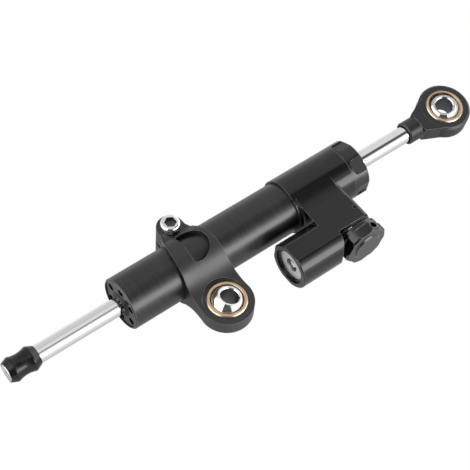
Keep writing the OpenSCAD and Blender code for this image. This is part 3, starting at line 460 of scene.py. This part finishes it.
# Clamp ring. Milled aluminium, split at the screw, with a window over the tube and a lug for its bearing. It
# is black anodised over a fine blasted grain, duller than the tube.
def blasted_black(name, body, roughness, mirror, grain_scale, grain_depth, edge):
    """Black anodised aluminium over blasted grain, with edges lighter from rubbing and a painted highlight.
    """
    finish = start_finish(name, body, 0.0, roughness, mirror)
    pits = grain(finish, (grain_scale, grain_scale, grain_scale), 2.0)
    cloud = grain(finish, (90, 90, 90), 3.0, (1, 4, 2))
    vary(finish, cloud, "Roughness", roughness - 0.04, roughness + 0.05)
    rounded = soften(finish, edge, [(pits, grain_depth)])
    # the edges' lighter colour: rubbed wear and a painted highlight
    rub_and_highlight_edges(finish, rounded, cloud, body, (0.42, 0.42, 0.43))
    return finish


clamp_black = blasted_black("clamp_black", (0.008, 0.008, 0.0083), 0.42, 0.78, 3500, 0.000002, 0.0002)
dress(clamp_black, "clamp_ring")


# Rod eye. Forged and machined, with a socket that screws onto the rod and a flat ring for its bearing. Its
# black is a little bluer than the damper's body, smooth and satin.
eye_black = blasted_black("eye_black", (0.007, 0.007, 0.009), 0.38, 0.55, 2500, 0.0000015, 0.0003)
dress(eye_black, "rod_eye")


# Adjuster knob. Turned aluminium with six milled scallops, finely blasted and black anodised. Its grub screw
# holds it on the stem.
knob_black = blasted_black("knob_black", (0.006, 0.006, 0.0065), 0.22, 0.60, 4200, 0.0000008, 0.0003)
dress(knob_black, "adjuster_knob")


# Piston rod. Steel bar, ground and hard chromed, running right through the tube. It mirrors the studio with
# only the faintest grinding lines.
def polished(name, colour, roughness, lines, line_depth, edge=0.0001):
    """Bright metal with fine lines left by its last grinding."""
    finish = start_finish(name, colour, 1.0, roughness)
    marks = grain(finish, lines)
    vary(finish, marks, "Roughness", roughness * 0.7, roughness * 1.4)
    soften(finish, edge, [(marks, line_depth)])
    return finish


rod_chrome = polished("rod_chrome", (0.90, 0.90, 0.91), 0.09, (3000, 300, 300), 0.0000012)
dress(rod_chrome, "piston_rod")


# Balls of the two bearings, and the detent's ball. Hardened steel, chromed and polished outside. The bolt's
# bore is left dull as it was reamed, and its colour is darkened, a painted shade inside the bore. The eye's
# ball is duller than the clamp's, and its chrome colour is darker, a painted shade.
bores = {mount["name"]: mount for mount in frame["record"]["mounts"]}
# the colour of the bore's wall, dark as a painted shade
reamed_and_shaded = (0.16, 0.16, 0.165)
bore_roughness = 0.48
bore_edge = 0.0001


def about_axis(finish, centre, axis):
    """A piece's own places, as seen from a centre with an axis pointing up."""
    tree = finish.node_tree
    place = tree.nodes.new("ShaderNodeTexCoord")
    about = tree.nodes.new("ShaderNodeMapping")
    about.vector_type = "TEXTURE"
    about.inputs["Location"].default_value = centre
    about.inputs["Rotation"].default_value = Vector(axis).to_track_quat("Z", "Y").to_euler()
    tree.links.new(place.outputs["Object"], about.inputs["Vector"])
    return about.outputs[0]


def from_axis(finish, centre, axis):
    """The distance from an axis through a centre."""
    tree = finish.node_tree
    flat = tree.nodes.new("ShaderNodeVectorMath")
    flat.operation = "MULTIPLY"
    flat.inputs[1].default_value = (1, 1, 0)
    distance = tree.nodes.new("ShaderNodeVectorMath")
    distance.operation = "LENGTH"
    tree.links.new(about_axis(finish, centre, axis), flat.inputs[0])
    tree.links.new(flat.outputs[0], distance.inputs[0])
    return distance.outputs["Value"]


def bored_ball(name, mount, colour, roughness):
    """Chrome that ends at a bore's wall, which is rougher and darker, the darkness a painted shade."""
    finish = polished(name, colour, roughness, (300, 300, 300), 0.000001, 0.00025)
    tree = finish.node_tree
    shader = tree.nodes["Principled BSDF"]
    wall = tree.nodes.new("ShaderNodeMapRange")
    bore_r = mount["dims"]["r_mm"] / 1000
    wall.inputs["From Min"].default_value = bore_r + 1.2 * bore_edge
    wall.inputs["From Max"].default_value = bore_r + 0.2 * bore_edge
    tint = tree.nodes.new("ShaderNodeMix")
    tint.data_type = "RGBA"
    tint.inputs["A"].default_value = shader.inputs["Base Color"].default_value
    tint.inputs["B"].default_value = (*reamed_and_shaded, 1)
    dull = tree.nodes.new("ShaderNodeMix")
    dull.inputs["B"].default_value = bore_roughness
    gloss = shader.inputs["Roughness"].links[0].from_socket
    tree.links.new(from_axis(finish, mount["pos_m"], mount["axis"]), wall.inputs["Value"])
    tree.links.new(wall.outputs[0], tint.inputs["Factor"])
    tree.links.new(wall.outputs[0], dull.inputs["Factor"])
    tree.links.new(gloss, dull.inputs["A"])
    tree.links.new(tint.outputs["Result"], shader.inputs["Base Color"])
    tree.links.new(dull.outputs["Result"], shader.inputs["Roughness"])
    return finish


dress(bored_ball("clamp_ball_chrome", bores["frame_ball_bore"], (0.90, 0.905, 0.91), 0.05), "clamp_ball")
# the eye's ball gets a darker chrome colour, a painted shade
dress(bored_ball("eye_ball_chrome", bores["rod_ball_bore"], (0.66, 0.665, 0.68), 0.13), "rod_eye_ball")
dress(polished("detent_chrome", (0.88, 0.88, 0.89), 0.07, (400, 400, 400), 0.000001), "detent_ball")


# Races of the two bearings. Turned bronze rings pressed into clamp and eye, with rings of tool marks. Inside
# its bright rim each race is sunk, and there its colour is dark brown, a painted shade in the hollow.
def turned(name, colour, roughness, centre, axis, pitch, depth):
    """Bare metal turned about an axis, with concentric tool marks."""
    finish = start_finish(name, colour, 1.0, roughness)
    rings = finish.node_tree.nodes.new("ShaderNodeTexWave")
    rings.wave_type = "RINGS"
    rings.rings_direction = "Z"
    rings.inputs["Scale"].default_value = 1 / pitch / 6.28
    rings.inputs["Distortion"].default_value = 0.3
    rings.inputs["Detail"].default_value = 1.0
    finish.node_tree.links.new(about_axis(finish, centre, axis), rings.inputs["Vector"])
    cloud = grain(finish, (700, 700, 700), 3.0)
    vary(finish, cloud, "Roughness", roughness - 0.04, roughness + 0.05)
    soften(finish, 0.0002, [(rings.outputs["Fac"], depth)])
    return finish


# bronze, and the dark brown painted as shade inside each race's rim
race_bronze, sunk_shade_colour = (0.70, 0.53, 0.36), (0.17, 0.105, 0.06)
race_axis = (0, 0, 1)
race_rim_r = 0.0073
rim_blur = 0.0001
eye_low, eye_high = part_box("rod_eye_race")
eye_centre = (eye_low + eye_high) / 2
for name, node, centre in (("clamp_race_bronze", "clamp_race", (0, 0, 0)),
                           ("eye_race_bronze", "rod_eye_race", eye_centre)):
    race = turned(name, race_bronze, 0.26, centre, race_axis, 0.00022, 0.0000003)
    shader = race.node_tree.nodes["Principled BSDF"]
    # inside the rim the bronze gives way to the painted shade
    sunk = race.node_tree.nodes.new("ShaderNodeMapRange")
    sunk.inputs["From Min"].default_value = race_rim_r + rim_blur
    sunk.inputs["From Max"].default_value = race_rim_r - rim_blur
    sunk_shade = race.node_tree.nodes.new("ShaderNodeMix")
    sunk_shade.data_type = "RGBA"
    sunk_shade.inputs["A"].default_value = shader.inputs["Base Color"].default_value
    sunk_shade.inputs["B"].default_value = (*sunk_shade_colour, 1)
    race.node_tree.links.new(from_axis(race, centre, race_axis), sunk.inputs["Value"])
    race.node_tree.links.new(sunk.outputs[0], sunk_shade.inputs["Factor"])
    race.node_tree.links.new(sunk_shade.outputs["Result"], shader.inputs["Base Color"])
    dress(race, node)


# Guide bushes and stem gland. Turned bronze, pressed into the front gland, the end cap and the arm. They are
# hidden but for their rims round the rod and stem.
rod_centre, rod_way = (0.0, rod_y, 0.0), (1, 0, 0)
dress(turned("bush_bronze", (0.58, 0.41, 0.21), 0.35, rod_centre, rod_way, 0.0003, 0.000003),
      "front_guide_bush", "rear_guide_bush", "stem_gland")


# Reservoir cover with its snap ring. The cover is a turned aluminium disc, clear anodised. The ring that
# holds it is steel with black oxide, and so are the plug, the piston's clips and the knob's grub screw.
cover_low, cover_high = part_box("reservoir_cover")
cover_centre = (cover_low + cover_high) / 2
dress(turned("cover_silver", (0.72, 0.72, 0.725), 0.40, cover_centre, rod_way, 0.0002, 0.000002),
      "reservoir_cover")


def blackened(name, body, roughness):
    """Steel with black oxide, slightly blotchy."""
    finish = start_finish(name, body, 0.6, roughness)
    cloud = grain(finish, (500, 500, 500), 3.0)
    vary(finish, cloud, "Roughness", roughness - 0.08, roughness + 0.10)
    soften(finish, 0.0001, [(cloud, 0.000004)])
    return finish


dress(blackened("ring_black", (0.030, 0.030, 0.032), 0.35),
      "reservoir_snap_ring", "passage_plug", "piston_clips", "knob_grub_screw")


# Floating piston with its level pin, which shows in the cover's hole, and the other bare inner parts. The
# pistons and the carrier are turned aluminium, and pin, stem, needle, key and washer are bright steel.
dress(turned("inner_alloy", (0.70, 0.70, 0.72), 0.30, rod_centre, rod_way, 0.0003, 0.000003),
      "floating_piston", "seal_carrier", "piston")
dress(polished("inner_steel", (0.80, 0.80, 0.81), 0.16, (900, 900, 900), 0.000001),
      "level_pin", "adjuster_stem", "valve_needle", "needle_key", "front_seal_washer")


# Clamp screw. Steel cap screw, chrome plated, with a wide crowned rim round its hexagon socket. The socket
# is punched, so its floor is dull and ends in the drill's cone. Its inside is dark: partly thin plating,
# partly a painted shade in the recess. It pulls the clamp's two ears together.
screw_low, screw_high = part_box("clamp_screw")
screw_middle = (screw_low + screw_high) / 2
head_r = (screw_high.x - screw_low.x) / 2
head_h = 0.005
shank_r = 0.0025
across_flats = 0.0048
socket_r = across_flats / 2 / math.cos(math.radians(30))
socket_depth = 0.0027
cone_depth, cone_step = 0.0007, 0.0003
crown = 0.0013
tip_chamfer = 0.0005
lip_width = 0.00012
nearby = 0.00001  # how close counts as lying in a plane


def pick(piece, chosen, kind="faces"):
    """Selects a piece's faces or edges that a test on their middle, and a face's normal, lets through."""
    bpy.ops.mesh.select_all(action="DESELECT")
    bpy.ops.object.mode_set(mode="OBJECT")
    mesh = piece.data
    if kind == "faces":
        for face in mesh.polygons:
            face.select = chosen(face.center, face.normal)
    else:
        for edge in mesh.edges:
            ends = [mesh.vertices[v].co for v in edge.vertices]
            edge.select = chosen((ends[0] + ends[1]) / 2, ends[1] - ends[0])
    bpy.ops.object.mode_set(mode="EDIT")


def apply_all(piece):
    """Applies a piece's modifiers in their order."""
    for modifier in list(piece.modifiers):
        bpy.ops.object.modifier_apply(modifier=modifier.name)


# The punch that makes the socket, a hexagon bar with a low cone at its foot
bpy.ops.object.select_all(action="DESELECT")
bpy.ops.mesh.primitive_cylinder_add(vertices=6, radius=socket_r, depth=2 * socket_depth,
                                    location=(screw_middle.x, screw_middle.y, screw_high.z))
punch = bpy.context.object
bpy.ops.object.transform_apply(location=True)
bpy.ops.object.mode_set(mode="EDIT")
bpy.ops.mesh.select_mode(type="FACE")
pick(punch, lambda middle, normal: normal.z < -0.9)
bpy.ops.mesh.inset(thickness=cone_step)
bpy.ops.mesh.extrude_region_move(TRANSFORM_OT_translate={"value": (0, 0, -cone_depth)})
bpy.ops.mesh.merge(type="CENTER")
bpy.ops.object.mode_set(mode="OBJECT")

# The head with its crown, the shank below it, and the socket
bpy.ops.object.select_all(action="DESELECT")
bpy.ops.mesh.primitive_cylinder_add(vertices=72, radius=head_r, depth=head_h,
                                    location=(screw_middle.x, screw_middle.y, screw_high.z - head_h / 2))
clamp_screw_detail = bpy.context.object
clamp_screw_detail.name = "clamp_screw_detail"
bpy.ops.object.transform_apply(location=True)
bpy.ops.object.mode_set(mode="EDIT")
bpy.ops.mesh.select_mode(type="EDGE")
pick(clamp_screw_detail,
     lambda middle, way: middle.z > screw_high.z - nearby and abs(way.z) < nearby, "edges")
bpy.ops.mesh.bevel(offset=crown, segments=8, profile=0.5, affect="EDGES")
bpy.ops.mesh.select_mode(type="FACE")
pick(clamp_screw_detail, lambda middle, normal: normal.z < -0.9)
bpy.ops.mesh.inset(thickness=head_r - shank_r)
shank_drop = screw_low.z - (screw_high.z - head_h)
bpy.ops.mesh.extrude_region_move(TRANSFORM_OT_translate={"value": (0, 0, shank_drop)})
bpy.ops.mesh.select_mode(type="EDGE")
pick(clamp_screw_detail,
     lambda middle, way: middle.z < screw_low.z + nearby and abs(way.z) < nearby, "edges")
bpy.ops.mesh.bevel(offset=tip_chamfer, segments=2, affect="EDGES")
bpy.ops.object.mode_set(mode="OBJECT")
cut = clamp_screw_detail.modifiers.new("socket", "BOOLEAN")
cut.operation = "DIFFERENCE"
cut.solver = "EXACT"
cut.object = punch
lip = clamp_screw_detail.modifiers.new("lip", "BEVEL")
lip.width = lip_width
lip.segments = 2
lip.limit_method = "ANGLE"
lip.angle_limit = math.radians(42)
apply_all(clamp_screw_detail)
bpy.data.objects.remove(punch)
bpy.ops.object.shade_smooth_by_angle(angle=math.radians(35))
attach(clamp_screw_detail, "clamp")
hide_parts("clamp_screw")

screw_plate = polished("screw_plate", (0.90, 0.90, 0.91), 0.07, (500, 500, 500), 0.000001, 0.00012)
# the socket's dark colour: dull where the plating thins, and a painted shade in the recess
screw_socket_dull_and_shaded = polished("screw_socket_dull_and_shaded", (0.20, 0.20, 0.205), 0.36, (2500, 2500, 2500), 0.00001, 0.00008)
clamp_screw_detail.data.materials.append(screw_plate)
clamp_screw_detail.data.materials.append(screw_socket_dull_and_shaded)
# where the socket's darker colour, thin plating and painted shade, begins
plated_lip, plated_foot = 0.00018, 0.0002  # the bright plating ends just inside the socket
for face in clamp_screw_detail.data.polygons:
    off_axis = math.hypot(face.center.x - screw_middle.x, face.center.y - screw_middle.y)
    deep = screw_high.z - head_h + plated_foot < face.center.z < screw_high.z - plated_lip
    face.material_index = 1 if off_axis < socket_r and deep else 0
dress(screw_plate, "clamp_screw")


# Blends between the valve block and its arm. The cutter leaves a long hollow above and below, from the round
# of the block down to the arm's flats. Each starts a hair inside the block and runs out in the arm's flat.
arm_left, arm_right, arm_half, block_half = 0.0521, 0.0720, 0.0099, 0.0130
inside_half = block_half - 0.0002  # the blends reach only this far into the block's round
blend_from = arm_left + 0.00002
blend_r, sink = 0.036, 0.00004  # the hollow's radius, and how far its ends sink under the skin
blend_foot = 0.001  # how far the blends reach into the arm and the block before they are cut
cutter_from, cutter_length = 0.04, 0.04
blend_z = arm_half + blend_r - sink
blend_reach = math.sqrt((block_half + blend_r - sink) ** 2 - blend_z ** 2)
touch = block_half / (block_half + blend_r)  # where hollow and block meet, as a share of the hollow's offset
blend_y = rod_y - blend_reach


def bar(radius, start, length, y, z, sides=240):
    """A round bar along the rod."""
    bpy.ops.object.select_all(action="DESELECT")
    bpy.ops.mesh.primitive_cylinder_add(vertices=sides, radius=radius, depth=length,
                                        location=(start + length / 2, y, z),
                                        rotation=(0, math.radians(90), 0))
    bpy.ops.object.transform_apply(location=True, rotation=True)
    return bpy.context.object


def brick(low, high):
    """A box between two corners."""
    bpy.ops.object.select_all(action="DESELECT")
    bpy.ops.mesh.primitive_cube_add(size=1,
                                    location=[(a + b) / 2 for a, b in zip(low, high)],
                                    scale=[b - a for a, b in zip(low, high)])
    bpy.ops.object.transform_apply(location=True, scale=True)
    return bpy.context.object


def shape_by(piece, *steps):
    """Cuts a piece by other shapes, each with its way, and takes those shapes away."""
    for cutter, way in steps:
        step = piece.modifiers.new("step", "BOOLEAN")
        step.operation = way
        step.solver = "EXACT"
        step.object = cutter
    bpy.ops.object.select_all(action="DESELECT")
    bpy.context.view_layer.objects.active = piece
    piece.select_set(True)
    apply_all(piece)
    for cutter, way in steps:
        bpy.data.objects.remove(cutter)
    bpy.ops.object.shade_smooth_by_angle(angle=math.radians(30))


for side, side_name in ((1, "top"), (-1, "bottom")):
    low_z, high_z = sorted((side * (arm_half - blend_foot), side * blend_z * touch))
    arm_blend = brick((blend_from, blend_y, low_z),
                      (arm_right, rod_y - blend_reach * touch + blend_foot, high_z))
    arm_blend.name = "arm_blend_" + side_name
    shape_by(arm_blend,
             (bar(blend_r, cutter_from, cutter_length, blend_y, side * blend_z, 480), "DIFFERENCE"),
             (bar(inside_half, cutter_from, cutter_length, rod_y, 0), "DIFFERENCE"))
    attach(arm_blend, "damper_body")
    arm_blend.data.materials.append(block_black)


# Root of the arm. On the side towards the clamp a small hollow runs round the block, from its rim up the
# arm's wall. It is a turned ring, hollowed by a ring-shaped cutter and kept where the arm stands.
root_r = 0.00165
root_far, root_near = rod_y - 0.0165, rod_y - 0.0045
root_from = arm_left - root_r
arm_root = bar(block_half + root_r - sink, root_from, root_r + sink, rod_y, 0)
arm_root.name = "arm_root"
bpy.ops.object.select_all(action="DESELECT")
bpy.ops.mesh.primitive_torus_add(major_segments=240, minor_segments=96,
                                 major_radius=block_half + root_r - sink, minor_radius=root_r,
                                 location=(root_from - sink, rod_y, 0), rotation=(0, math.radians(90), 0))
bpy.ops.object.transform_apply(location=True, rotation=True)
root_hollow = bpy.context.object
shape_by(arm_root, (root_hollow, "DIFFERENCE"),
         (bar(inside_half, cutter_from, cutter_length, rod_y, 0), "DIFFERENCE"),
         (brick((cutter_from, root_far, sink - arm_half),
                (cutter_from + cutter_length / 2, root_near, arm_half - sink)), "INTERSECT"))
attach(arm_root, "damper_body")
arm_root.data.materials.append(block_black)


# Seals, wipers and sealing rings. Moulded black nitrile rubber, pressed into their grooves. Only the wipers'
# lips show, round the rod.
def rubber(name, body, roughness, depth):
    """Moulded rubber with a soft skin and faint specks."""
    finish = start_finish(name, body, 0.0, roughness, 0.4)
    skin = grain(finish, (1500, 1500, 1500), 3.0)
    cloud = grain(finish, (120, 120, 120), 3.0, (2, 2, 5))
    vary(finish, cloud, "Roughness", roughness - 0.07, roughness + 0.08)
    soften(finish, 0.0003, [(skin, depth)])
    return finish


dress(rubber("seal_rubber", (0.016, 0.016, 0.016), 0.50, 0.00001),
      "front_rod_seal", "front_wiper", "front_gland_ring", "seal_carrier_ring",
      "rear_rod_seal", "rear_wiper", "stem_gland_ring", "floating_piston_ring")


# End bumper. Moulded black rubber, waisted, pushed onto the rod's free end. Its skin is smooth, with a
# slight sheen.
dress(rubber("bumper_rubber", (0.008, 0.008, 0.0085), 0.24, 0.000003), "end_bumper")


# Piston's slide ring. A band of brown filled plastic in the piston's groove, which keeps metal off metal. It
# is hidden in the tube.
dress(rubber("band_brown", (0.18, 0.11, 0.06), 0.55, 0.000008), "piston_ring")


# Springs of compensator and detent. Round steel wire, wound with closed ends. The compensator's spring
# stands between the reservoir's cover and the floating piston.
def wound(name, foot, along, radius, wire, length, turns):
    """A coil of round wire from foot along an axis, its end turns lying close, as one closed mesh."""
    closed = 0.75
    side = along.orthogonal().normalized()
    other = along.cross(side)
    steps_a_turn = 16
    steps = round((turns + 2 * closed) * steps_a_turn)
    rise = length - wire - 2 * closed * wire
    bpy.ops.object.select_all(action="DESELECT")
    bpy.ops.curve.primitive_nurbs_path_add(location=(0, 0, 0))
    path = bpy.context.object
    path.data.splines.clear()
    line = path.data.splines.new("POLY")
    line.points.add(steps)
    for step in range(steps + 1):
        turned_so_far = step / steps_a_turn
        climbed = min(max((turned_so_far - closed) / turns, 0), 1)
        lift = wire / 2 + wire * min(turned_so_far, closed) + rise * climbed
        lift += wire * max(turned_so_far - closed - turns, 0)
        angle = 2 * math.pi * turned_so_far
        place = foot + along * lift + radius * (side * math.cos(angle) + other * math.sin(angle))
        line.points[step].co = (*place, 1)
    path.data.dimensions = "3D"
    path.data.bevel_depth = wire / 2
    path.data.bevel_resolution = 3
    path.data.use_fill_caps = True
    bpy.ops.object.convert(target="MESH")
    coil = bpy.context.object
    coil.name = name
    bpy.ops.object.mode_set(mode="EDIT")
    bpy.ops.mesh.select_all(action="SELECT")
    bpy.ops.mesh.remove_doubles(threshold=0.000001)
    bpy.ops.mesh.normals_make_consistent(inside=False)
    bpy.ops.object.mode_set(mode="OBJECT")
    bpy.ops.object.shade_smooth_by_angle(angle=math.radians(40))
    return coil


spring_low, spring_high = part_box("compensator_spring")
spring_middle = (spring_low + spring_high) / 2
spring_wire = 0.0012
spring_r = (spring_high.y - spring_low.y - spring_wire) / 2
spring_foot = Vector((spring_low.x, spring_middle.y, spring_middle.z))
main_coil = wound("compensator_coil", spring_foot, Vector((1, 0, 0)), spring_r, spring_wire,
                  spring_high.x - spring_low.x, 1.75)
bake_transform(main_coil)
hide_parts("compensator_spring")

click_low, click_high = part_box("detent_spring")
click_middle = (click_low + click_high) / 2
click_wire = 0.0003
small_coil = wound("detent_coil", Vector((click_middle.x, click_low.y, click_middle.z)), Vector((0, 1, 0)),
                   (click_high.x - click_low.x - click_wire) / 2, click_wire, click_high.y - click_low.y, 6)
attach(small_coil, "damper_body")
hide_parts("detent_spring")

spring_steel = polished("spring_steel", (0.56, 0.56, 0.58), 0.25, (1200, 1200, 1200), 0.000003)
for coil in (main_coil, small_coil):
    coil.data.materials.append(spring_steel)
dress(spring_steel, "compensator_spring", "detent_spring")
